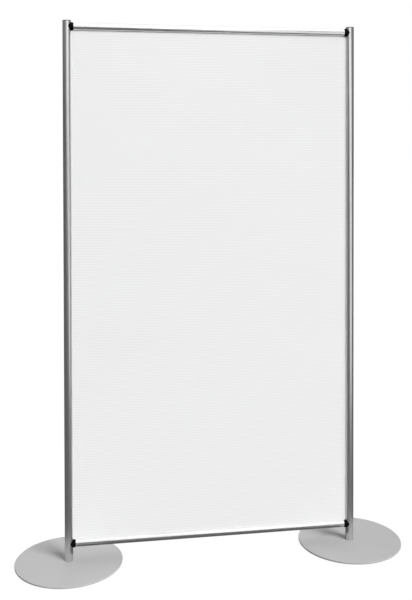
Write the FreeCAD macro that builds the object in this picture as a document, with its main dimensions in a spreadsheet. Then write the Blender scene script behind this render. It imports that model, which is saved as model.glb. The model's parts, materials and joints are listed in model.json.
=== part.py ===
"""Free-standing partition wall: two round posts on round base plates, a round rail above and
below, and a hollow-chamber sheet held in slots of the posts and rails.

Frame: +Z up, X along the wall, origin on the floor midway between the posts. Millimetres.
"""
import FreeCAD, Part
import os
import re
import Sketcher
from FreeCAD import Placement, Rotation, Vector

# Driving dimensions, in millimetres. Each has a cell of its own in the sheet.
DIMENSIONS = {
    # the whole wall
    "overall_height": 1800,
    "post_spacing": 972,
    "top_rail_drop": 20,
    "bottom_rail_lift": 64,
    # posts: a tube with a T-slot along its inward side
    "post_diameter": 28,
    "post_wall": 1.8,
    "lip_thickness": 3,
    "lip_overlap": 2.3,
    "cavity_depth": 3.6,
    "slot_floor_wall": 1.6,
    # rails: a tube with a plain groove towards the sheet
    "rail_diameter": 25,
    "rail_wall": 1.8,
    "groove_depth": 6.1,
    # the hollow-chamber sheet and its edge seals
    "panel_thickness": 6,
    "panel_skin": 0.6,
    "panel_web": 0.5,
    "flute_pitch": 8.8,
    "edge_margin": 5,
    "expansion_gap": 1.3,
    "seal_wall": 0.8,
    "seal_leg": 4,
    "seal_clearance": 0.05,
    "seal_corner_gap": 0.5,
    "slot_clearance": 0.15,
    # saddles between the rail ends and the posts
    "saddle_collar": 8,
    "saddle_ear": 2.2,
    "saddle_flare": 0.8,
    "saddle_taper": 5,
    "saddle_clearance": 0.05,
    "tongue_clearance": 0.3,
    "tongue_height": 10,
    "spigot_length": 24,
    "spigot_clearance": 0.1,
    # saddle screws and the nuts in the post slots
    "saddle_screw_diameter": 5,
    "saddle_screw_length": 16,
    "saddle_screw_head": 8.5,
    "saddle_screw_head_height": 5,
    "saddle_screw_socket": 4,
    "screw_tip_gap": 0.6,
    "screw_play": 0.25,
    "head_play": 0.5,
    "nut_thickness": 3.2,
    "nut_length": 18,
    "nut_side_play": 0.2,
    # set screws that lock the rails and the foot inserts
    "set_screw_diameter": 5,
    "set_screw_socket": 2.5,
    "set_screw_recess": 0.2,
    "rail_set_screw_length": 4,
    "rail_set_screw_inset": 17,
    "insert_set_screw_length": 6,
    "thread_clearance": 0.05,
    # top caps
    "cap_height": 2.5,
    "cap_dome": 0.8,
    "cap_plug_length": 12,
    "cap_plug_clearance": 0.15,
    # feet: a plate that swivels under the post on one countersunk screw
    "plate_diameter": 355,
    "plate_thickness": 5,
    "plate_chamfer": 0.8,
    "pad_thickness": 2,
    "pad_diameter": 24,
    "pad_circle_diameter": 300,
    "washer_thickness": 0.8,
    "washer_diameter": 26,
    "washer_play": 1,
    "insert_length": 30,
    "insert_clearance": 0.05,
    "base_screw_diameter": 8,
    "base_screw_length": 25,
    "base_screw_head": 16,
    "base_screw_rim": 0.4,
    "base_screw_socket": 5,
    "base_screw_recess": 0.3,
    "swivel_clearance": 0.1,
    # hexagon sockets
    "socket_depth": 2.2,
}

# Sizes and places that follow from the driving dimensions.
POST_RADIUS = "(post_diameter / 2)"
POST_BORE = f"({POST_RADIUS} - post_wall)"
SLOT_MOUTH = "(panel_thickness + 2 * (seal_clearance + seal_wall + slot_clearance))"
CAVITY_WIDTH = f"({SLOT_MOUTH} + 2 * lip_overlap)"
LIP_FACE = f"({POST_RADIUS} - lip_thickness)"
SLOT_FLOOR = f"({LIP_FACE} - cavity_depth)"
POST_FLAT = f"({SLOT_FLOOR} - slot_floor_wall)"

RAIL_RADIUS = "(rail_diameter / 2)"
RAIL_BORE = f"({RAIL_RADIUS} - rail_wall)"
GROOVE_FLOOR = f"({RAIL_RADIUS} - groove_depth)"
RAIL_FLAT = f"({GROOVE_FLOOR} - slot_floor_wall)"
TOP_RAIL_LEVEL = "(overall_height - top_rail_drop)"
RAIL_REACH = f"({POST_RADIUS} + saddle_collar)"

SEAL_BUILD = "(seal_wall + seal_clearance)"
SEAL_OUTER = f"(panel_thickness + 2 * {SEAL_BUILD})"
SIDE_SEAL_BASE = f"({SLOT_FLOOR} + expansion_gap)"
RAIL_SEAL_BASE = f"({GROOVE_FLOOR} + expansion_gap)"
PANEL_WIDTH = f"(post_spacing - 2 * ({SIDE_SEAL_BASE} + {SEAL_BUILD}))"
PANEL_BOTTOM = f"(bottom_rail_lift + {RAIL_SEAL_BASE} + {SEAL_BUILD})"
PANEL_TOP = f"({TOP_RAIL_LEVEL} - {RAIL_SEAL_BASE} - {SEAL_BUILD})"
PANEL_HEIGHT = f"({PANEL_TOP} - {PANEL_BOTTOM})"

SPIGOT_RADIUS = f"({RAIL_BORE} - spigot_clearance)"
SPIGOT_FLAT = f"({RAIL_FLAT} - spigot_clearance)"
SCREW_RISE = f"(({SPIGOT_RADIUS} - {SPIGOT_FLAT}) / 2)"
SCREW_TIP = f"({SLOT_FLOOR} + screw_tip_gap)"
SCREW_SEAT = f"({SCREW_TIP} + saddle_screw_length)"
RAIL_SET_SCREW = f"({RAIL_REACH} + rail_set_screw_inset)"

PLATE_TOP = "(pad_thickness + plate_thickness)"
POST_BOTTOM = f"({PLATE_TOP} + washer_thickness)"
POST_TOP = "(overall_height - cap_height)"
INSERT_SCREW_LEVEL = f"({POST_BOTTOM} + insert_length / 2)"

SHEET = "Sizes"
SIDES = {"left": -1, "right": 1}
ORIGIN, NORTH = (-1, 1), (0, 0, 1)

doc = FreeCAD.newDocument("partition_wall")
nodes = []


def make_sheet():
    """Writes each driving dimension to its own row and gives the cell its name."""
    sheet = doc.addObject("Spreadsheet::Sheet", SHEET)
    for row, (name, value) in enumerate(DIMENSIONS.items(), start=1):
        sheet.set(f"A{row}", name)
        sheet.set(f"B{row}", str(value))
        sheet.setAlias(f"B{row}", name)
    doc.recompute()


def bound(text):
    """The expression with each driving dimension's name pointed at its cell."""
    return re.sub(
        r"[a-z][a-z_]*",
        lambda word: f"{SHEET}.{word.group()}" if word.group() in DIMENSIONS else word.group(),
        text,
    )


def new_body(name):
    body = doc.addObject("PartDesign::Body", name)
    body.Label = name
    nodes.append(body)
    return body


def set_place(piece, x="0", y="0", z="0", axis=NORTH, angle=0):
    """Turns the piece about an axis through its own origin, then moves it to x, y, z."""
    piece.Placement = Placement(Vector(), Rotation(Vector(*axis), angle))
    for letter, text in (("x", x), ("y", y), ("z", z)):
        piece.setExpression(f"Placement.Base.{letter}", bound(text))


def new_sketch(body, plane, offset="0"):
    """A sketch on one of the body's own origin planes, moved along the plane's normal."""
    support = next(f for f in body.Origin.OriginFeatures if f.Role == plane)
    sketch = body.newObject("Sketcher::SketchObject", f"{body.Name}_sketch")
    sketch.AttachmentSupport = [(support, "")]
    sketch.MapMode = "FlatFace"
    sketch.setExpression("AttachmentOffset.Base.z", bound(offset))
    return sketch


def drive(sketch, constraint, text):
    """Adds a constraint and binds its value to an expression."""
    index = sketch.addConstraint(constraint)
    sketch.setExpression(f"Constraints[{index}]", bound(text))


def pin(sketch, geometry, point, x, y):
    """Holds a point of the sketch at x, y from its origin."""
    drive(sketch, Sketcher.Constraint("DistanceX", *ORIGIN, geometry, point, 1.0), x)
    drive(sketch, Sketcher.Constraint("DistanceY", *ORIGIN, geometry, point, 1.0), y)


def add_circle(sketch, diameter, x="0", y="0"):
    circle = sketch.addGeometry(Part.Circle(Vector(1, 1, 0), Vector(0, 0, 1), 1), False)
    pin(sketch, circle, 3, x, y)
    drive(sketch, Sketcher.Constraint("Diameter", circle, 2.0), diameter)


def add_polygon(sketch, points):
    """A closed outline of straight lines through the points, each a pair of expressions."""
    count = len(points)
    lines = [
        sketch.addGeometry(Part.LineSegment(Vector(i, i * i, 0), Vector(i + 1, (i + 1) ** 2, 0)), False)
        for i in range(count)
    ]
    for i, (x, y) in enumerate(points):
        sketch.addConstraint(Sketcher.Constraint("Coincident", lines[i - 1], 2, lines[i], 1))
        pin(sketch, lines[i], 1, x, y)


def add_rectangle(sketch, x_low, x_high, y_low, y_high):
    add_polygon(sketch, [(x_low, y_low), (x_high, y_low), (x_high, y_high), (x_low, y_high)])


def add_hexagon(sketch, across_flats, x="0", y="0"):
    corner = f"{across_flats} / sqrt(3)"
    points = [
        (f"{x} + {corner} * cos({60 * k + 30})", f"{y} + {corner} * sin({60 * k + 30})")
        for k in range(6)
    ]
    add_polygon(sketch, points)


def add_d_shape(sketch, radius, flat, towards="+x"):
    """A circle about the origin with the segment beyond `flat` cut off, towards +x or -y."""
    along_x = towards == "+x"
    middle = 0 if along_x else -90
    rough_radius, half_gap = 10, 60
    ends = [
        rough_radius * Vector(Rotation(Vector(0, 0, 1), middle + sign * half_gap).multVec(Vector(1, 0, 0)))
        for sign in (1, -1)
    ]
    opposite = Rotation(Vector(0, 0, 1), middle + 180).multVec(Vector(rough_radius, 0, 0))
    arc = sketch.addGeometry(Part.Arc(ends[0], opposite, ends[1]), False)
    chord = sketch.addGeometry(Part.LineSegment(ends[1], ends[0]), False)
    sketch.addConstraint(Sketcher.Constraint("Coincident", arc, 2, chord, 1))
    sketch.addConstraint(Sketcher.Constraint("Coincident", arc, 1, chord, 2))
    sketch.addConstraint(Sketcher.Constraint("Coincident", arc, 3, *ORIGIN))
    sketch.addConstraint(Sketcher.Constraint("Vertical" if along_x else "Horizontal", chord))
    drive(sketch, Sketcher.Constraint("Radius", arc, 10.0), radius)
    if along_x:
        drive(sketch, Sketcher.Constraint("DistanceX", *ORIGIN, chord, 1, 5.0), flat)
    else:
        drive(sketch, Sketcher.Constraint("DistanceY", *ORIGIN, chord, 1, -5.0), f"-{flat}")


def add_upright_ellipse(sketch, width, height):
    """An ellipse about the origin, its longer axis along the sketch's y."""
    ellipse = sketch.addGeometry(Part.Ellipse(Vector(0, 15, 0), Vector(-12, 0, 0), Vector()), False)
    sketch.exposeInternalGeometry(ellipse)
    long_axis, short_axis = ellipse + 1, ellipse + 2
    sketch.addConstraint(Sketcher.Constraint("Coincident", ellipse, 3, *ORIGIN))
    sketch.addConstraint(Sketcher.Constraint("Vertical", long_axis))
    drive(sketch, Sketcher.Constraint("Distance", long_axis, 30.0), height)
    drive(sketch, Sketcher.Constraint("Distance", short_axis, 24.0), width)


def pad(body, sketch, length, both_ways=False, against_normal=False):
    feature = body.newObject("PartDesign::Pad", f"{body.Name}_pad")
    feature.Profile = sketch
    feature.SideType = "Symmetric" if both_ways else "One side"
    feature.Reversed = against_normal
    feature.setExpression("Length", bound(length))
    return feature


def pocket(body, sketch, length=None, both_ways=False, along_normal=False):
    """Cuts the sketch from the body, all the way through if no length is given."""
    feature = body.newObject("PartDesign::Pocket", f"{body.Name}_pocket")
    feature.Profile = sketch
    feature.SideType = "Symmetric" if both_ways else "One side"
    feature.Reversed = along_normal
    if length is None:
        feature.Type = "ThroughAll"
    else:
        feature.setExpression("Length", bound(length))
    return feature


def revolve(body, points, kind="Revolution"):
    """Turns an outline of (radius, height) points about the body's Z axis, adding or cutting."""
    sketch = new_sketch(body, "XZ_Plane")
    add_polygon(sketch, points)
    feature = body.newObject(f"PartDesign::{kind}", f"{body.Name}_turned")
    feature.Profile = sketch
    feature.ReferenceAxis = (sketch, ["V_Axis"])
    feature.Angle = 360
    return feature


def make_post(side, sign):
    """Extruded tube. Modelled with its slot towards +X, then turned to face the sheet."""
    body = new_body(f"{side}_post")
    outline = new_sketch(body, "XY_Plane", POST_BOTTOM)
    add_circle(outline, "post_diameter")
    pad(body, outline, f"{POST_TOP} - {POST_BOTTOM}")

    bore = new_sketch(body, "XY_Plane")
    add_d_shape(bore, POST_BORE, POST_FLAT)
    pocket(body, bore, along_normal=True)

    half_mouth, half_cavity = f"{SLOT_MOUTH} / 2", f"{CAVITY_WIDTH} / 2"
    slot = new_sketch(body, "XY_Plane")
    add_polygon(slot, [
        (POST_RADIUS, f"-{half_mouth}"),
        (POST_RADIUS, half_mouth),
        (LIP_FACE, half_mouth),
        (LIP_FACE, half_cavity),
        (SLOT_FLOOR, half_cavity),
        (SLOT_FLOOR, f"-{half_cavity}"),
        (LIP_FACE, f"-{half_cavity}"),
        (LIP_FACE, f"-{half_mouth}"),
    ])
    pocket(body, slot, along_normal=True)

    lock_hole = new_sketch(body, "YZ_Plane")
    add_circle(lock_hole, "set_screw_diameter + 2 * thread_clearance", "0", INSERT_SCREW_LEVEL)
    pocket(body, lock_hole, "post_diameter")
    set_place(body, x=f"{sign} * post_spacing / 2", angle=0 if sign < 0 else 180)


def make_post_cap(side, sign):
    """Moulded cap with a shallow domed edge and a plug that fills the post's bore."""
    body = new_body(f"{side}_post_cap")
    revolve(body, [
        ("0", POST_TOP),
        (POST_RADIUS, POST_TOP),
        (POST_RADIUS, "overall_height - cap_dome"),
        (f"{POST_RADIUS} - cap_dome", "overall_height - cap_dome / 4"),
        (f"{POST_RADIUS} - 3 * cap_dome", "overall_height"),
        ("0", "overall_height"),
    ])
    plug = new_sketch(body, "XY_Plane", POST_TOP)
    add_d_shape(plug, f"{POST_BORE} - cap_plug_clearance", f"{POST_FLAT} - cap_plug_clearance")
    pad(body, plug, "cap_plug_length", against_normal=True)
    set_place(body, x=f"{sign} * post_spacing / 2", angle=0 if sign < 0 else 180)


def make_foot_insert(side, sign):
    """Threaded plug in the post's lower end, which the base screw is driven into."""
    body = new_body(f"{side}_foot_insert")
    outline = new_sketch(body, "XY_Plane", POST_BOTTOM)
    add_d_shape(outline, f"{POST_BORE} - insert_clearance", f"{POST_FLAT} - insert_clearance")
    pad(body, outline, "insert_length")
    thread = new_sketch(body, "XY_Plane")
    add_circle(thread, "base_screw_diameter + 2 * thread_clearance")
    pocket(body, thread, along_normal=True)
    lock_hole = new_sketch(body, "YZ_Plane")
    add_circle(lock_hole, "set_screw_diameter + 2 * thread_clearance", "0", INSERT_SCREW_LEVEL)
    pocket(body, lock_hole, "post_diameter")
    set_place(body, x=f"{sign} * post_spacing / 2", angle=0 if sign < 0 else 180)


def make_set_screw(name, length):
    """Headless screw along Z, its socket at the top, its upper face at the origin."""
    body = new_body(name)
    shank = new_sketch(body, "XY_Plane")
    add_circle(shank, "set_screw_diameter")
    pad(body, shank, length, against_normal=True)
    socket = new_sketch(body, "XY_Plane")
    add_hexagon(socket, "set_screw_socket")
    pocket(body, socket, "socket_depth")
    return body


def make_insert_set_screw(side, sign):
    """Locks the foot insert from the post's outer side."""
    body = make_set_screw(f"{side}_insert_set_screw", "insert_set_screw_length")
    outside = f"{sign} * (post_spacing / 2 + {POST_RADIUS} - set_screw_recess)"
    set_place(body, x=outside, z=INSERT_SCREW_LEVEL, axis=(0, 1, 0), angle=90 * sign)


def make_rail(name, level, angle):
    """Extruded tube between the saddles. Modelled with its groove down."""
    body = new_body(name)
    outline = new_sketch(body, "YZ_Plane")
    add_circle(outline, "rail_diameter")
    pad(body, outline, f"post_spacing - 2 * {RAIL_REACH}", both_ways=True)

    bore = new_sketch(body, "YZ_Plane")
    add_d_shape(bore, RAIL_BORE, RAIL_FLAT, towards="-y")
    pocket(body, bore, both_ways=True)

    groove = new_sketch(body, "YZ_Plane")
    add_rectangle(groove, f"-{SLOT_MOUTH} / 2", f"{SLOT_MOUTH} / 2", f"-{RAIL_RADIUS}", f"-{GROOVE_FLOOR}")
    pocket(body, groove, both_ways=True)

    for sign in SIDES.values():
        lock_hole = new_sketch(body, "XY_Plane")
        add_circle(
            lock_hole,
            "set_screw_diameter + 2 * thread_clearance",
            f"{sign} * (post_spacing / 2 - {RAIL_SET_SCREW})",
        )
        pocket(body, lock_hole, "rail_diameter", along_normal=True)
    set_place(body, z=level, axis=(0, 1, 0), angle=angle)


def make_saddle(name):
    """Moulded collar that hugs the post, with a tongue for the slot and a spigot for the rail.

    Modelled for the upper left corner: post axis on Z, rail axis on X, groove down.
    """
    body = new_body(name)
    ear_height = "(rail_diameter + 2 * saddle_ear)"
    cheek_width = "(rail_diameter + 2 * saddle_flare)"
    taper_start = f"({RAIL_REACH} - saddle_taper)"
    hug = new_sketch(body, "YZ_Plane")
    add_upright_ellipse(hug, cheek_width, ear_height)
    pad(body, hug, taper_start)

    wide_end = new_sketch(body, "YZ_Plane", taper_start)
    add_upright_ellipse(wide_end, cheek_width, ear_height)
    round_end = new_sketch(body, "YZ_Plane", RAIL_REACH)
    add_circle(round_end, "rail_diameter")
    taper = body.newObject("PartDesign::AdditiveLoft", f"{body.Name}_taper")
    taper.Profile = wide_end
    taper.Sections = [round_end]

    spigot = new_sketch(body, "YZ_Plane", RAIL_REACH)
    add_d_shape(spigot, SPIGOT_RADIUS, SPIGOT_FLAT, towards="-y")
    pad(body, spigot, "spigot_length")

    fish_mouth = new_sketch(body, "XY_Plane")
    add_circle(fish_mouth, "post_diameter + 2 * saddle_clearance")
    pocket(body, fish_mouth, both_ways=True)

    tongue_half = f"({SLOT_MOUTH} / 2 - slot_clearance)"
    tongue = new_sketch(body, "YZ_Plane", f"{LIP_FACE} + tongue_clearance")
    add_rectangle(
        tongue,
        f"-{tongue_half}",
        tongue_half,
        f"{SCREW_RISE} - tongue_height / 2",
        f"{SCREW_RISE} + tongue_height / 2",
    )
    pad(body, tongue, "lip_thickness + saddle_collar / 2")

    groove = new_sketch(body, "YZ_Plane")
    add_rectangle(
        groove,
        f"-{SLOT_MOUTH} / 2",
        f"{SLOT_MOUTH} / 2",
        f"-{ear_height}",
        f"-{GROOVE_FLOOR}",
    )
    pocket(body, groove, RAIL_REACH, along_normal=True)

    screw_hole = new_sketch(body, "YZ_Plane")
    add_circle(screw_hole, "saddle_screw_diameter + 2 * screw_play", "0", SCREW_RISE)
    pocket(body, screw_hole, along_normal=True)
    head_hole = new_sketch(body, "YZ_Plane", SCREW_SEAT)
    add_circle(head_hole, "saddle_screw_head + 2 * head_play", "0", SCREW_RISE)
    pocket(body, head_hole, along_normal=True)

    lock_hole = new_sketch(body, "XY_Plane", SCREW_RISE)
    add_circle(lock_hole, "set_screw_diameter + 2 * thread_clearance", RAIL_SET_SCREW)
    pocket(body, lock_hole, along_normal=True)
    return body


def make_saddle_screw(name):
    """Socket-head screw lying along X: its tip in the nut, its head inside the spigot."""
    body = new_body(name)
    shank = new_sketch(body, "YZ_Plane", SCREW_TIP)
    add_circle(shank, "saddle_screw_diameter", "0", SCREW_RISE)
    pad(body, shank, "saddle_screw_length")
    head = new_sketch(body, "YZ_Plane", SCREW_SEAT)
    add_circle(head, "saddle_screw_head", "0", SCREW_RISE)
    pad(body, head, "saddle_screw_head_height")
    socket = new_sketch(body, "YZ_Plane", f"{SCREW_SEAT} + saddle_screw_head_height")
    add_hexagon(socket, "saddle_screw_socket", "0", SCREW_RISE)
    pocket(body, socket, "socket_depth")
    return body


def make_slot_nut(name):
    """Flat nut that is trapped behind the post's slot lips."""
    body = new_body(name)
    half_width = f"({CAVITY_WIDTH} / 2 - nut_side_play)"
    outline = new_sketch(body, "YZ_Plane", f"{LIP_FACE} - nut_thickness")
    add_rectangle(
        outline,
        f"-{half_width}",
        half_width,
        f"{SCREW_RISE} - nut_length / 2",
        f"{SCREW_RISE} + nut_length / 2",
    )
    pad(body, outline, "nut_thickness")
    thread = new_sketch(body, "YZ_Plane")
    add_circle(thread, "saddle_screw_diameter + 2 * thread_clearance", "0", SCREW_RISE)
    pocket(body, thread, along_normal=True)
    return body


def make_corner(end, side, sign):
    """The saddle, its screw and nut, and the rail's set screw at one corner.

    The saddle fits all four corners: half a turn about Z or Y brings it from one to the next,
    and about X to the corner below.
    """
    prefix = f"{end}_{side}"
    level = TOP_RAIL_LEVEL if end == "top" else "bottom_rail_lift"
    axis, angle = {
        ("top", "left"): (NORTH, 0),
        ("top", "right"): (NORTH, 180),
        ("bottom", "left"): ((1, 0, 0), 180),
        ("bottom", "right"): ((0, 1, 0), 180),
    }[end, side]
    makers = (
        (make_saddle, "saddle"),
        (make_saddle_screw, "saddle_screw"),
        (make_slot_nut, "slot_nut"),
    )
    for make, name in makers:
        piece = make(f"{prefix}_{name}")
        set_place(piece, x=f"{sign} * post_spacing / 2", z=level, axis=axis, angle=angle)

    lock = make_set_screw(f"{prefix}_rail_set_screw", "rail_set_screw_length")
    away = 1 if end == "top" else -1
    set_place(
        lock,
        x=f"{sign} * (post_spacing / 2 - {RAIL_SET_SCREW})",
        z=f"{level} + {away} * ({RAIL_RADIUS} - set_screw_recess)",
        axis=(1, 0, 0),
        angle=0 if end == "top" else 180,
    )


def make_panel():
    """Hollow-chamber sheet: two skins joined by webs that run from post to post."""
    body = new_body("panel")
    outline = new_sketch(body, "YZ_Plane")
    half = "panel_thickness / 2"
    add_rectangle(outline, f"-{half}", half, PANEL_BOTTOM, PANEL_TOP)
    pad(body, outline, PANEL_WIDTH, both_ways=True)

    count = f"floor(({PANEL_HEIGHT} - 2 * edge_margin) / flute_pitch)"
    first = f"({PANEL_BOTTOM} + ({PANEL_HEIGHT} - {count} * flute_pitch) / 2)"
    chamber = new_sketch(body, "YZ_Plane")
    inner = "(panel_thickness / 2 - panel_skin)"
    add_rectangle(
        chamber,
        f"-{inner}",
        inner,
        f"{first} + panel_web / 2",
        f"{first} + flute_pitch - panel_web / 2",
    )
    cut = pocket(body, chamber, both_ways=True)
    rows = body.newObject("PartDesign::LinearPattern", "panel_chambers")
    rows.Originals = [cut]
    rows.Direction = (chamber, ["V_Axis"])
    rows.setExpression("Length", bound(f"flute_pitch * ({count} - 1)"))
    rows.setExpression("Occurrences", bound(count))
    body.Tip = rows


def add_seal_section(sketch, base, outward, across):
    """The U section of a seal: its web at `base`, its legs `outward` from it, open to the sheet.

    `across` is True where the sketch's x is the sheet's thickness direction.
    """
    half_out, half_in = f"{SEAL_OUTER} / 2", f"({SEAL_OUTER} / 2 - seal_wall)"
    web, tip = f"{base} + {outward} * seal_wall", f"{base} + {outward} * seal_leg"
    outline = [
        (base, f"-{half_out}"),
        (tip, f"-{half_out}"),
        (tip, f"-{half_in}"),
        (web, f"-{half_in}"),
        (web, half_in),
        (tip, half_in),
        (tip, half_out),
        (base, half_out),
    ]
    add_polygon(sketch, [(y, x) for x, y in outline] if across else outline)


def make_side_seal(side, sign):
    """Soft channel that closes the sheet's open flutes inside the post's slot."""
    body = new_body(f"{side}_edge_seal")
    section = new_sketch(body, "XY_Plane", PANEL_BOTTOM)
    base = f"{sign} * (post_spacing / 2 - {SIDE_SEAL_BASE})"
    add_seal_section(section, base, -sign, across=False)
    pad(body, section, PANEL_HEIGHT)


def make_rail_seal(end, level, inward):
    """Soft channel between the sheet's long edge and the rail's groove."""
    body = new_body(f"{end}_edge_seal")
    section = new_sketch(body, "YZ_Plane")
    base = f"{level} + {inward} * {RAIL_SEAL_BASE}"
    add_seal_section(section, base, inward, across=True)
    end_gap = f"({SIDE_SEAL_BASE} + seal_leg + seal_corner_gap)"
    pad(body, section, f"post_spacing - 2 * {end_gap}", both_ways=True)


def make_base_plate(side, sign):
    """Flat round plate with a countersunk hole that the post swivels on."""
    body = new_body(f"{side}_base_plate")
    radius = "plate_diameter / 2"
    revolve(body, [
        ("0", "pad_thickness"),
        (f"{radius} - plate_chamfer", "pad_thickness"),
        (radius, "pad_thickness + plate_chamfer"),
        (radius, f"{PLATE_TOP} - plate_chamfer"),
        (f"{radius} - plate_chamfer", PLATE_TOP),
        ("0", PLATE_TOP),
    ])
    hole = new_sketch(body, "XY_Plane")
    shank = "(base_screw_diameter / 2 + swivel_clearance)"
    add_circle(hole, f"2 * {shank}")
    pocket(body, hole, along_normal=True)
    head = "(base_screw_head / 2 + swivel_clearance)"
    rim_top = "(pad_thickness + base_screw_recess + base_screw_rim)"
    revolve(body, [
        ("0", "pad_thickness"),
        (head, "pad_thickness"),
        (head, rim_top),
        (shank, f"{rim_top} + {head} - {shank}"),
        ("0", f"{rim_top} + {head} - {shank}"),
    ], kind="Groove")
    set_place(body, x=f"{sign} * post_spacing / 2")


def make_base_screw(side, sign):
    """Countersunk screw from below, through the plate and washer into the foot insert."""
    body = new_body(f"{side}_base_screw")
    head, shank = "base_screw_head / 2", "base_screw_diameter / 2"
    foot = "(pad_thickness + base_screw_recess)"
    rim_top = f"({foot} + base_screw_rim)"
    revolve(body, [
        ("0", foot),
        (head, foot),
        (head, rim_top),
        (shank, f"{rim_top} + {head} - {shank}"),
        (shank, f"{foot} + base_screw_length"),
        ("0", f"{foot} + base_screw_length"),
    ])
    socket = new_sketch(body, "XY_Plane", foot)
    add_hexagon(socket, "base_screw_socket")
    pocket(body, socket, "socket_depth", along_normal=True)
    set_place(body, x=f"{sign} * post_spacing / 2")


def make_swivel_washer(side, sign):
    """Slide washer that the post turns on."""
    body = new_body(f"{side}_swivel_washer")
    outline = new_sketch(body, "XY_Plane", PLATE_TOP)
    add_circle(outline, "washer_diameter")
    add_circle(outline, "base_screw_diameter + 2 * washer_play")
    pad(body, outline, "washer_thickness")
    set_place(body, x=f"{sign} * post_spacing / 2")


def make_base_pads(side, sign):
    """Four soft pads under one base plate."""
    pads = []
    for number in range(4):
        disc = doc.addObject("Part::Cylinder", f"{side}_pad_{number}")
        disc.setExpression("Radius", bound("pad_diameter / 2"))
        disc.setExpression("Height", bound("pad_thickness"))
        turn = 45 + 90 * number
        set_place(
            disc,
            x=f"{sign} * post_spacing / 2 + pad_circle_diameter / 2 * cos({turn})",
            y=f"pad_circle_diameter / 2 * sin({turn})",
        )
        pads.append(disc)
    group = doc.addObject("Part::Compound", f"{side}_base_pads")
    group.Label = f"{side}_base_pads"
    group.Links = pads
    nodes.append(group)


def build():
    make_sheet()
    for side, sign in SIDES.items():
        make_post(side, sign)
        make_post_cap(side, sign)
        make_foot_insert(side, sign)
        make_insert_set_screw(side, sign)
        make_base_plate(side, sign)
        make_base_screw(side, sign)
        make_swivel_washer(side, sign)
        make_base_pads(side, sign)
        make_side_seal(side, sign)
        for end in ("top", "bottom"):
            make_corner(end, side, sign)
    make_rail("top_rail", TOP_RAIL_LEVEL, 0)
    make_rail("bottom_rail", "bottom_rail_lift", 180)
    make_rail_seal("top", TOP_RAIL_LEVEL, -1)
    make_rail_seal("bottom", "bottom_rail_lift", 1)
    make_panel()
    doc.recompute()


def check():
    """Stops if any feature failed, or any sub-part isn't valid closed solids."""
    for thing in doc.Objects:
        if {"Invalid", "Error"} & set(thing.State):
            raise RuntimeError(f"{thing.Label} failed: {thing.State}")
    for node in nodes:
        shape = node.Shape
        solids = 4 if node.TypeId == "Part::Compound" else 1
        if shape.isNull() or not shape.isValid() or len(shape.Solids) != solids:
            raise RuntimeError(f"{node.Label} is not {solids} valid solid(s)")


def export():
    os.makedirs("parts", exist_ok=True)
    for node in nodes:
        node.Shape.exportStep(f"parts/{node.Label}.step")


build()
check()
export()
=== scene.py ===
"""Looks of a free-standing partition wall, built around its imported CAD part.

Metres, in the CAD frame: +Z up, X along the wall, -Y towards the camera.
"""

import json
import math

import bmesh
import bpy
from mathutils import Matrix, Vector

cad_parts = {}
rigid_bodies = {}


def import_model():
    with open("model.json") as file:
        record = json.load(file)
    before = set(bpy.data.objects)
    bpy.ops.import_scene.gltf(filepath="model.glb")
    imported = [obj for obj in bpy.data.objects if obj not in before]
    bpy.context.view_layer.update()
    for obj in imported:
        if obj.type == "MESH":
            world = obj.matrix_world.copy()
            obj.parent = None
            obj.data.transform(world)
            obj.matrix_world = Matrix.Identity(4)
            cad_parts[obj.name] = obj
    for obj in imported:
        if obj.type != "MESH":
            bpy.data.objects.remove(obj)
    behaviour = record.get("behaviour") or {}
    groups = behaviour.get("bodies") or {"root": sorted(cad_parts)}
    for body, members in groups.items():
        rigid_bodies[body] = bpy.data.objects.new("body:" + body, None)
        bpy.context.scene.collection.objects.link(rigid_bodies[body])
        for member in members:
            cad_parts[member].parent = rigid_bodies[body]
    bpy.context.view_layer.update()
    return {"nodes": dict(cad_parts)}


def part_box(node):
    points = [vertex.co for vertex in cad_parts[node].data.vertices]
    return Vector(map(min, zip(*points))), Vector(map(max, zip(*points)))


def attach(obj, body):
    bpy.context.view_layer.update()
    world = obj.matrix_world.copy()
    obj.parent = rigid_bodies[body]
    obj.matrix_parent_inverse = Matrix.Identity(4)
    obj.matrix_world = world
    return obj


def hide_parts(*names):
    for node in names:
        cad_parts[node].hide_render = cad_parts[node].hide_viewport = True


for leftover in list(bpy.data.objects):
    bpy.data.objects.remove(leftover)

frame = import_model()

MM = 0.001
X_AXIS, Y_AXIS, Z_AXIS = range(3)

# Camera: place, turn from +Y towards +X, rise above level, roll, and lens.
CAMERA_PLACE = (-0.4611, -2.7612, 1.3329)
CAMERA_YAW = math.radians(9.04)
CAMERA_PITCH = math.radians(-0.92)
CAMERA_ROLL = math.radians(-0.11)
CAMERA_LENS_MM = 49.42
CAMERA_SENSOR_MM = 36
CAMERA_SHIFT_Y = -0.2083

# Hollow-chamber sheet. Its skins bulge by the crown over each flute, and pass a share of the light.
FLUTE_PITCH = 8.8 * MM
SKIN = 0.6 * MM
WEB = 0.5 * MM
FLUTE_CROWN = 0.12 * MM
CROWN_STEPS = 6
SHEET_PASSES = 0.35

# Rounded edges: a width, or a share of the piece's smallest side where that is less.
EDGE_WIDTH = 0.25 * MM
EDGE_SHARE = 0.08
EDGE_SEGMENTS = 2
WELD_DISTANCE = 0.001 * MM
SHARP_ANGLE = math.radians(30)

# Sky: brightness straight ahead and behind, towards either side, and overhead. The other values say
# how far a direction leans along X or Z, from 0 to 1, where the side begins and where each is reached.
SKY_FRONT, SKY_SIDE, SKY_TOP = 0.24, 0.03, 0.45
SKY_SIDE_START, SKY_SIDE_END = 0.3, 0.75
SKY_TOP_END = 0.4

# Key light: turn from -Y towards +X, rise above level, how wide the disc is, and strength.
KEY_AZIMUTH = math.radians(38)
KEY_ELEVATION = math.radians(35)
KEY_WIDTH = math.radians(30)
KEY_STRENGTH = 4.8

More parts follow.
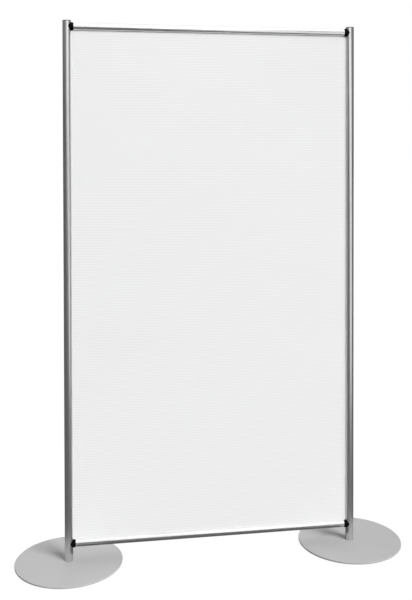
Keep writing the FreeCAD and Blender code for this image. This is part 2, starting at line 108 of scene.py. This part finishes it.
# Floor, and the dark card under the low rail, seen only in gloss, which paints a darker reflection along the
# rail's underside in place of the bright plates.
FLOOR_TONE = 0.1
FLOOR_GLOW = 0.9
FLOOR_REACH = 40
CARD_FRONT, CARD_BACK = 60 * MM, 30 * MM


# ---------------------------------------------------------------- object and node helpers

def add_object(name, data):
    """An object in the scene that holds the given data."""
    holder = bpy.data.objects.new(name, data)
    bpy.context.scene.collection.objects.link(holder)
    return holder


def add_node(tree, kind, inputs=None, **settings):
    """A node with its settings, its inputs either linked or set to a value."""
    made = tree.nodes.new(kind)
    for name, value in settings.items():
        setattr(made, name, value)
    for socket, value in (inputs or {}).items():
        if isinstance(value, bpy.types.NodeSocket):
            tree.links.new(value, made.inputs[socket])
        else:
            made.inputs[socket].default_value = value
    return made


def new_material(name, **sockets):
    """A material, its nodes and its Principled shader, with plain values on the shader's own sockets."""
    material = bpy.data.materials.new(name)
    material.use_nodes = True
    shader = material.node_tree.nodes["Principled BSDF"]
    for socket, value in sockets.items():
        shader.inputs[socket.replace("_", " ")].default_value = value
    return material, material.node_tree, shader


def connect(tree, shader, colour, roughness, normal):
    """Feeds a shader's colour, roughness and normal."""
    for socket, value in (("Base Color", colour), ("Roughness", roughness), ("Normal", normal)):
        tree.links.new(value, shader.inputs[socket])


def noise(tree, cells_per_metre, detail=2.0):
    """Noise with its own grain along each axis."""
    place = add_node(tree, "ShaderNodeTexCoord").outputs["Object"]
    mapped = add_node(tree, "ShaderNodeMapping", {"Vector": place, "Scale": cells_per_metre})
    return add_node(tree, "ShaderNodeTexNoise", {
        "Vector": mapped.outputs["Vector"], "Scale": 1.0, "Detail": detail,
    }).outputs["Fac"]


def drawn(axis, along, across):
    """Cells per metre of a grain that is drawn out along one axis."""
    return [along if each == axis else across for each in (X_AXIS, Y_AXIS, Z_AXIS)]


def spread(tree, value, low, high, start=0.3, end=0.7, kind="LINEAR"):
    """Maps a value between start and end to low to high."""
    return add_node(tree, "ShaderNodeMapRange", {
        "Value": value, "From Min": start, "From Max": end, "To Min": low, "To Max": high,
    }, interpolation_type=kind).outputs["Result"]


def calculate(tree, operation, first, second=0.0):
    """One Math node."""
    return add_node(tree, "ShaderNodeMath", {0: first, 1: second}, operation=operation).outputs[0]


def mix_colours(tree, factor, first, second):
    """From the first colour to the second. Sockets 0, 6, 7 and output 2 are the node's colour ones."""
    return add_node(tree, "ShaderNodeMix", {0: factor, 6: first, 7: second}, data_type="RGBA").outputs[2]


def mix_shaders(tree, factor, first, second):
    """From the first node's shader to the second's."""
    return add_node(tree, "ShaderNodeMixShader", {
        0: factor, 1: first.outputs[0], 2: second.outputs[0],
    }).outputs[0]


def grey(level, warmth=0.0):
    """A near neutral colour; warmth above 0 leans to yellow, below 0 to blue."""
    return (level * (1 + warmth), level, level * (1 - warmth), 1.0)


def bump(tree, height, distance, strength, under=None):
    """A normal from a height, over another normal if there is one."""
    inputs = {"Height": height, "Distance": distance, "Strength": strength}
    if under is not None:
        inputs["Normal"] = under
    return add_node(tree, "ShaderNodeBump", inputs).outputs["Normal"]


# ---------------------------------------------------------------- finishes

def aluminium(name, tone, roughness, along):
    """Anodised extrusion: fine die lines along it, soft mottling, satin gloss."""
    material, tree, shader = new_material(name, Metallic=1.0)
    lines = noise(tree, drawn(along, 5, 1400), detail=3)
    mottle = noise(tree, drawn(along, 9, 60))
    grain = noise(tree, [2600] * 3, detail=1)
    colour = mix_colours(tree, spread(tree, lines, 0, 1), grey(tone * 0.9, -0.006), grey(tone * 1.08))
    colour = mix_colours(tree, spread(tree, mottle, 0, 0.35), colour, grey(tone * 0.85, -0.01))
    gloss = calculate(tree, "ADD", spread(tree, lines, roughness - 0.05, roughness + 0.05),
                      spread(tree, mottle, -0.03, 0.03))
    relief = bump(tree, grain, 0.01 * MM, 0.35)
    connect(tree, shader, colour, gloss, bump(tree, lines, 0.015 * MM, 0.6, relief))
    return material


def moulded_plastic(name, tone, roughness):
    """Fine spark-eroded texture with faint flow marks."""
    material, tree, shader = new_material(name, Specular_IOR_Level=0.04)
    texture = noise(tree, [2200] * 3, detail=3)
    flow = noise(tree, drawn(Z_AXIS, 140, 90))
    colour = mix_colours(tree, spread(tree, flow, 0, 1), grey(tone * 0.8), grey(tone * 1.25))
    gloss = spread(tree, texture, roughness - 0.06, roughness + 0.08)
    connect(tree, shader, colour, gloss, bump(tree, texture, 0.03 * MM, 0.5))
    return material


def powder_coat(name, tone):
    """Fine-textured silver-grey powder paint with orange peel and faint scuffs."""
    material, tree, shader = new_material(name, Specular_IOR_Level=0.35)
    peel = noise(tree, [420] * 3)
    grain = noise(tree, [2400] * 3)
    cloud = noise(tree, [7] * 3, detail=3)
    scuffs = noise(tree, drawn(Y_AXIS, 22, 160), detail=4)
    colour = mix_colours(tree, spread(tree, grain, 0, 1), grey(tone * 0.93, -0.004), grey(tone * 1.07))
    colour = mix_colours(tree, spread(tree, cloud, 0, 0.3), colour, grey(tone * 0.93))
    colour = mix_colours(tree, spread(tree, scuffs, 0, 0.25, 0.62, 0.74), colour, grey(tone * 1.12))
    relief = bump(tree, grain, 0.02 * MM, 0.4)
    connect(tree, shader, colour, spread(tree, cloud, 0.44, 0.56), bump(tree, peel, 0.05 * MM, 0.5, relief))
    return material


def zinc_plate(name, tone):
    """Bright zinc on steel: small crystal flecks and faint stains."""
    material, tree, shader = new_material(name, Metallic=1.0)
    flecks = noise(tree, [700] * 3, detail=3)
    stain = noise(tree, [120] * 3)
    colour = mix_colours(tree, spread(tree, flecks, 0, 1), grey(tone * 0.88, -0.02), grey(tone * 1.1))
    colour = mix_colours(tree, spread(tree, stain, 0, 0.4), colour, grey(tone * 0.9, 0.03))
    connect(tree, shader, colour, spread(tree, stain, 0.24, 0.38), bump(tree, flecks, 0.01 * MM, 0.4))
    return material


def soft_material(name, tone, roughness, warmth=0.0):
    """Rubber, nylon or seal: matt skin with fine pores and slight variation."""
    material, tree, shader = new_material(name)
    pores = noise(tree, [1500] * 3, detail=3)
    cloud = noise(tree, [50] * 3)
    colour = mix_colours(tree, spread(tree, cloud, 0, 1), grey(tone * 0.9, warmth), grey(tone * 1.05, warmth))
    gloss = spread(tree, pores, roughness - 0.07, roughness + 0.07)
    connect(tree, shader, colour, gloss, bump(tree, pores, 0.02 * MM, 0.5))
    return material


def opal_sheet(name, tone, first_web):
    """Opal hollow-chamber sheet: its webs show as faint lines through skins that let light pass."""
    material, tree, shader = new_material(name, Specular_IOR_Level=0.3)
    place = add_node(tree, "ShaderNodeTexCoord").outputs["Object"]
    height = add_node(tree, "ShaderNodeSeparateXYZ", {0: place}).outputs["Z"]
    flutes = calculate(tree, "DIVIDE", calculate(tree, "SUBTRACT", height, first_web), FLUTE_PITCH)
    share = calculate(tree, "FRACT", calculate(tree, "ADD", flutes, 0.5))
    offset = calculate(tree, "ABSOLUTE", calculate(tree, "SUBTRACT", share, 0.5))
    # 1 on a web, fading to 0 at 0.16 of a flute from it.
    web = spread(tree, offset, 1, 0, 0.03, 0.16, "SMOOTHSTEP")
    grain = noise(tree, drawn(X_AXIS, 3, 900))
    cloud = noise(tree, drawn(Z_AXIS, 3, 2))
    pearl = noise(tree, [1800] * 3, detail=1)
    colour = mix_colours(tree, spread(tree, cloud, 0, 0.5), grey(tone, -0.002), grey(tone * 0.99, 0.002))
    colour = mix_colours(tree, calculate(tree, "MULTIPLY", web, 0.5), colour, grey(tone * 0.84))
    colour = mix_colours(tree, spread(tree, grain, 0, 0.08), colour, grey(tone * 0.9))
    relief = bump(tree, grain, 0.01 * MM, 0.4)
    connect(tree, shader, colour, spread(tree, pearl, 0.32, 0.42), bump(tree, pearl, 0.008 * MM, 0.3, relief))
    through = add_node(tree, "ShaderNodeBsdfTranslucent", {"Color": colour})
    both = mix_shaders(tree, SHEET_PASSES, shader, through)
    tree.links.new(both, tree.nodes["Material Output"].inputs["Surface"])
    return material


# ---------------------------------------------------------------- the sheet

def flute_lines(low, high, first, count):
    """Cross-section lines of the sheet, from its low edge to its high edge.

    Returns the skin's line, which bulges a little over each flute, and each chamber's line, both as
    (height, half thickness) pairs for one face. The other face mirrors them.
    """
    half = (high.y - low.y) / 2
    skin = [(low.z, half - FLUTE_CROWN)]
    chambers = []
    for flute in range(count):
        start = first + flute * FLUTE_PITCH
        chamber = []
        for step in range(CROWN_STEPS + 1):
            share = step / CROWN_STEPS
            skin.append((start + share * FLUTE_PITCH, half - FLUTE_CROWN * (1 - math.sin(math.pi * share))))
            inner = half - SKIN - FLUTE_CROWN * (0.5 if step in (0, CROWN_STEPS) else 0)
            chamber.append((start + WEB / 2 + share * (FLUTE_PITCH - WEB), inner))
        chambers.append(chamber)
        if flute < count - 1:
            skin.pop()
    skin.append((high.z, half - FLUTE_CROWN))
    return skin, chambers


def make_end(shape, skin, chambers, middle, x):
    """One cut end of the sheet: the faces of its skins, webs and two edges, round open chambers.

    Returns the points of the skins and of each chamber, keyed by face: -1 towards -Y, 1 towards +Y.
    """
    def line(points, face):
        return [shape.verts.new((x, middle + face * half, height)) for height, half in points]

    outer = {face: line(skin, face) for face in (-1, 1)}
    inner = [{face: line(chamber, face) for face in (-1, 1)} for chamber in chambers]
    for face in (-1, 1):
        for flute, chamber in enumerate(inner):
            over = outer[face][1 + flute * CROWN_STEPS:2 + (flute + 1) * CROWN_STEPS]
            for step in range(CROWN_STEPS):
                shape.faces.new((over[step], over[step + 1], chamber[face][step + 1], chamber[face][step]))
            if flute:
                shape.faces.new((over[0], chamber[face][0], inner[flute - 1][face][-1]))
    for under, over in zip(inner, inner[1:]):
        shape.faces.new((under[-1][-1], over[-1][0], over[1][0], under[1][-1]))
    for tip, root, chamber in ((0, 1, inner[0]), (-1, -2, inner[-1])):
        shape.faces.new((outer[-1][tip], outer[-1][root], chamber[-1][tip],
                         chamber[1][tip], outer[1][root], outer[1][tip]))
    return outer, inner


def join_lines(shape, one, two):
    """A strip of faces between two lines of as many points each."""
    for step in range(len(one) - 1):
        shape.faces.new((one[step], one[step + 1], two[step + 1], two[step]))


def make_sheet(name, low, high, first, count):
    """Opal sheet with its real chambers, open at the two ends that stand in the posts."""
    skin, chambers = flute_lines(low, high, first, count)
    middle = (low.y + high.y) / 2
    shape = bmesh.new()
    outer_a, inner_a = make_end(shape, skin, chambers, middle, low.x)
    outer_b, inner_b = make_end(shape, skin, chambers, middle, high.x)
    for face in (-1, 1):
        join_lines(shape, outer_a[face], outer_b[face])
    for tip in (0, -1):
        shape.faces.new((outer_a[-1][tip], outer_b[-1][tip], outer_b[1][tip], outer_a[1][tip]))
    for one, two in zip(inner_a, inner_b):
        ring_a, ring_b = ([*ring[-1], *reversed(ring[1])] for ring in (one, two))
        join_lines(shape, [*ring_a, ring_a[0]], [*ring_b, ring_b[0]])
    bmesh.ops.recalc_face_normals(shape, faces=shape.faces)
    mesh = bpy.data.meshes.new(name)
    shape.to_mesh(mesh)
    shape.free()
    mesh.shade_smooth()
    mesh.set_sharp_from_angle(angle=SHARP_ANGLE)
    return add_object(name, mesh)


# ---------------------------------------------------------------- carried-over CAD nodes

def soften(piece, width):
    """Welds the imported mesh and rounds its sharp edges, so that they catch the light."""
    weld = piece.modifiers.new("weld", "WELD")
    weld.merge_threshold = WELD_DISTANCE
    edge = piece.modifiers.new("edge", "BEVEL")
    edge.width = width
    edge.segments = EDGE_SEGMENTS
    edge.limit_method = "ANGLE"
    edge.angle_limit = SHARP_ANGLE
    edge.use_clamp_overlap = True
    even = piece.modifiers.new("even", "WEIGHTED_NORMAL")
    even.keep_sharp = True


# ---------------------------------------------------------------- studio

def add_softbox(name, place, aim, width, height, brightness):
    """A softbox that only gloss shows: it draws the highlights along the tubes, and lights nothing else."""
    lamp = bpy.data.lights.new(name, "AREA")
    lamp.shape = "RECTANGLE"
    lamp.size, lamp.size_y = width, height
    lamp.energy = brightness * math.pi * width * height
    holder = add_object(name, lamp)
    holder.location = place
    holder.rotation_euler = (Vector(aim) - Vector(place)).to_track_quat("-Z", "Y").to_euler()
    holder.visible_camera = False
    holder.visible_diffuse = False


def add_key():
    """A far soft key that gives shade and shadows, and no highlight."""
    lamp = bpy.data.lights.new("key", "SUN")
    lamp.angle = KEY_WIDTH
    lamp.energy = KEY_STRENGTH
    holder = add_object("key", lamp)
    towards = Vector((math.sin(KEY_AZIMUTH) * math.cos(KEY_ELEVATION),
                      -math.cos(KEY_AZIMUTH) * math.cos(KEY_ELEVATION),
                      math.sin(KEY_ELEVATION)))
    holder.rotation_euler = towards.to_track_quat("Z", "Y").to_euler()
    holder.visible_glossy = False


def make_world():
    """Soft sky: dim near the horizon and bright overhead, behind a plain white backdrop."""
    world = bpy.data.worlds.new("studio")
    world.use_nodes = True
    tree = world.node_tree
    tree.nodes.clear()
    direction = add_node(tree, "ShaderNodeTexCoord").outputs["Generated"]
    parts = add_node(tree, "ShaderNodeSeparateXYZ", {0: direction})
    sideways = calculate(tree, "ABSOLUTE", parts.outputs["X"])
    around = spread(tree, sideways, SKY_FRONT, SKY_SIDE, SKY_SIDE_START, SKY_SIDE_END, "SMOOTHSTEP")
    overhead = spread(tree, parts.outputs["Z"], 0, 1, 0.0, SKY_TOP_END, "SMOOTHSTEP")
    rise = calculate(tree, "MULTIPLY", overhead, calculate(tree, "SUBTRACT", SKY_TOP, around))
    level = calculate(tree, "ADD", around, rise)
    sky = add_node(tree, "ShaderNodeBackground", {"Color": grey(1.0), "Strength": level})
    white = add_node(tree, "ShaderNodeBackground", {"Color": grey(1.0), "Strength": 1.0})
    seen = add_node(tree, "ShaderNodeLightPath").outputs["Is Camera Ray"]
    out = add_node(tree, "ShaderNodeOutputWorld")
    tree.links.new(mix_shaders(tree, seen, sky, white), out.inputs["Surface"])
    bpy.context.scene.world = world


def floor_material():
    """Dim to gloss and to soft light, and bright enough for the camera to run into the backdrop."""
    material = bpy.data.materials.new("floor_white")
    material.use_nodes = True
    tree = material.node_tree
    tree.nodes.clear()
    dim = add_node(tree, "ShaderNodeBsdfDiffuse", {"Color": grey(FLOOR_TONE)})
    glow = add_node(tree, "ShaderNodeEmission", {"Color": grey(1.0), "Strength": FLOOR_GLOW})
    lit = add_node(tree, "ShaderNodeAddShader", {0: dim.outputs[0], 1: glow.outputs[0]})
    seen = add_node(tree, "ShaderNodeLightPath").outputs["Is Camera Ray"]
    out = add_node(tree, "ShaderNodeOutputMaterial")
    tree.links.new(mix_shaders(tree, seen, dim, lit), out.inputs["Surface"])
    return material


def add_ground(name, low, high, height, material):
    """A level rectangle between two corners."""
    corners = [(low[0], low[1]), (high[0], low[1]), (high[0], high[1]), (low[0], high[1])]
    mesh = bpy.data.meshes.new(name)
    mesh.from_pydata([(x, y, height) for x, y in corners], [], [(0, 1, 2, 3)])
    mesh.materials.append(material)
    ground = add_object(name, mesh)
    return ground


def make_floor():
    """A plain pale floor, and a dark card under the low rail that only gloss shows: a painted dark reflection
    along the rail's underside.
    """
    material = floor_material()
    add_ground("floor", (-FLOOR_REACH, -FLOOR_REACH), (FLOOR_REACH, FLOOR_REACH), 0, material)
    rail_low, rail_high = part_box("bottom_rail")
    dark_reflection_card = add_ground("rail_dark_reflection_card", (rail_low.x, rail_low.y - CARD_FRONT),
                      (rail_high.x, rail_high.y + CARD_BACK), rail_low.z / 2, material)
    # Painted reflection: hidden from camera, diffuse light and shadows, the card only darkens the low rail's
    # underside in gloss.
    dark_reflection_card.visible_camera = False
    dark_reflection_card.visible_diffuse = False
    dark_reflection_card.visible_shadow = False
    dark_reflection_card.visible_transmission = False


def make_camera():
    """The camera at its place, looking along its yaw and pitch, rolled about that line."""
    level_forward = Vector((math.sin(CAMERA_YAW), math.cos(CAMERA_YAW), 0))
    forward = level_forward * math.cos(CAMERA_PITCH) + Vector((0, 0, math.sin(CAMERA_PITCH)))
    right = Vector((math.cos(CAMERA_YAW), -math.sin(CAMERA_YAW), 0))
    up = right.cross(forward)
    turned_right = right * math.cos(CAMERA_ROLL) + up * math.sin(CAMERA_ROLL)
    turned_up = turned_right.cross(forward)
    lens = bpy.data.cameras.new("camera")
    lens.lens = CAMERA_LENS_MM
    lens.sensor_width = CAMERA_SENSOR_MM
    lens.shift_y = CAMERA_SHIFT_Y
    holder = add_object("camera", lens)
    axes = Matrix((turned_right, turned_up, -forward)).transposed()
    holder.matrix_world = Matrix.Translation(CAMERA_PLACE) @ axes.to_4x4()
    bpy.context.scene.camera = holder


# ---------------------------------------------------------------- the object

sheet_low, sheet_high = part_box("panel")
flute_count = round((sheet_high.z - sheet_low.z) / FLUTE_PITCH) - 1
first_web = (sheet_low.z + sheet_high.z - flute_count * FLUTE_PITCH) / 2
finishes = {
    "post_aluminium": aluminium("post_aluminium_satin", tone=0.76, roughness=0.33, along=Z_AXIS),
    "rail_aluminium": aluminium("rail_aluminium_satin", tone=0.88, roughness=0.26, along=X_AXIS),
    "black_plastic": moulded_plastic("black_moulded_plastic", tone=0.003, roughness=0.6),
    "plate_paint": powder_coat("plate_powder_coat", tone=0.37),
    "zinc_steel": zinc_plate("bright_zinc", tone=0.6),
    "white_nylon": soft_material("white_nylon_slide", tone=0.8, roughness=0.45, warmth=0.01),
    "pad_rubber": soft_material("black_pad_rubber", tone=0.03, roughness=0.8),
    "clear_seal": soft_material("milky_seal", tone=0.82, roughness=0.35),
    "panel_sheet": opal_sheet("opal_flute_sheet", tone=0.74, first_web=first_web),
}

for name, piece in frame["nodes"].items():
    slot = piece.data.materials[0].name.split(".")[0]
    piece.data.materials[0] = finishes[slot]
    if slot not in ("panel_sheet", "clear_seal"):
        low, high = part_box(name)
        soften(piece, min(EDGE_WIDTH, EDGE_SHARE * min(high - low)))

sheet = make_sheet("panel_sheet", sheet_low, sheet_high, first_web, flute_count)
sheet.data.materials.append(finishes["panel_sheet"])
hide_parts("panel")
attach(sheet, "wall")

# The sheet lets the light through, and the low rail's own shadow is lost in the soft light.
for piece in (sheet, frame["nodes"]["bottom_rail"], frame["nodes"]["bottom_edge_seal"]):
    piece.visible_shadow = False

make_camera()
make_world()
make_floor()
add_key()
add_softbox("near_strip", place=(0.06, -0.95, 2.05), aim=(0, 0, 1.8), width=0.55, height=0.7, brightness=0.85)
add_softbox("right_box", place=(1.0, -1.6, 1.4), aim=(0, 0, 1.4), width=1.6, height=0.8, brightness=0.74)
add_softbox("right_low_box", place=(1.1, -1.6, 0.5), aim=(0, 0, 0.5), width=1.8, height=1.0, brightness=0.85)
add_softbox("front_box", place=(-0.1, -3.6, 2.25), aim=(0, 0, 1.4), width=2.2, height=2.0, brightness=0.8)
add_softbox("overhead_box", place=(0, -0.4, 3.4), aim=(0, 0, 0), width=4.5, height=4.5, brightness=0.8)
add_softbox("rear_box", place=(0, 3.2, 1.8), aim=(0, 0, 1.8), width=2.6, height=3.2, brightness=0.8)
bpy.context.scene.view_settings.view_transform = "Standard"
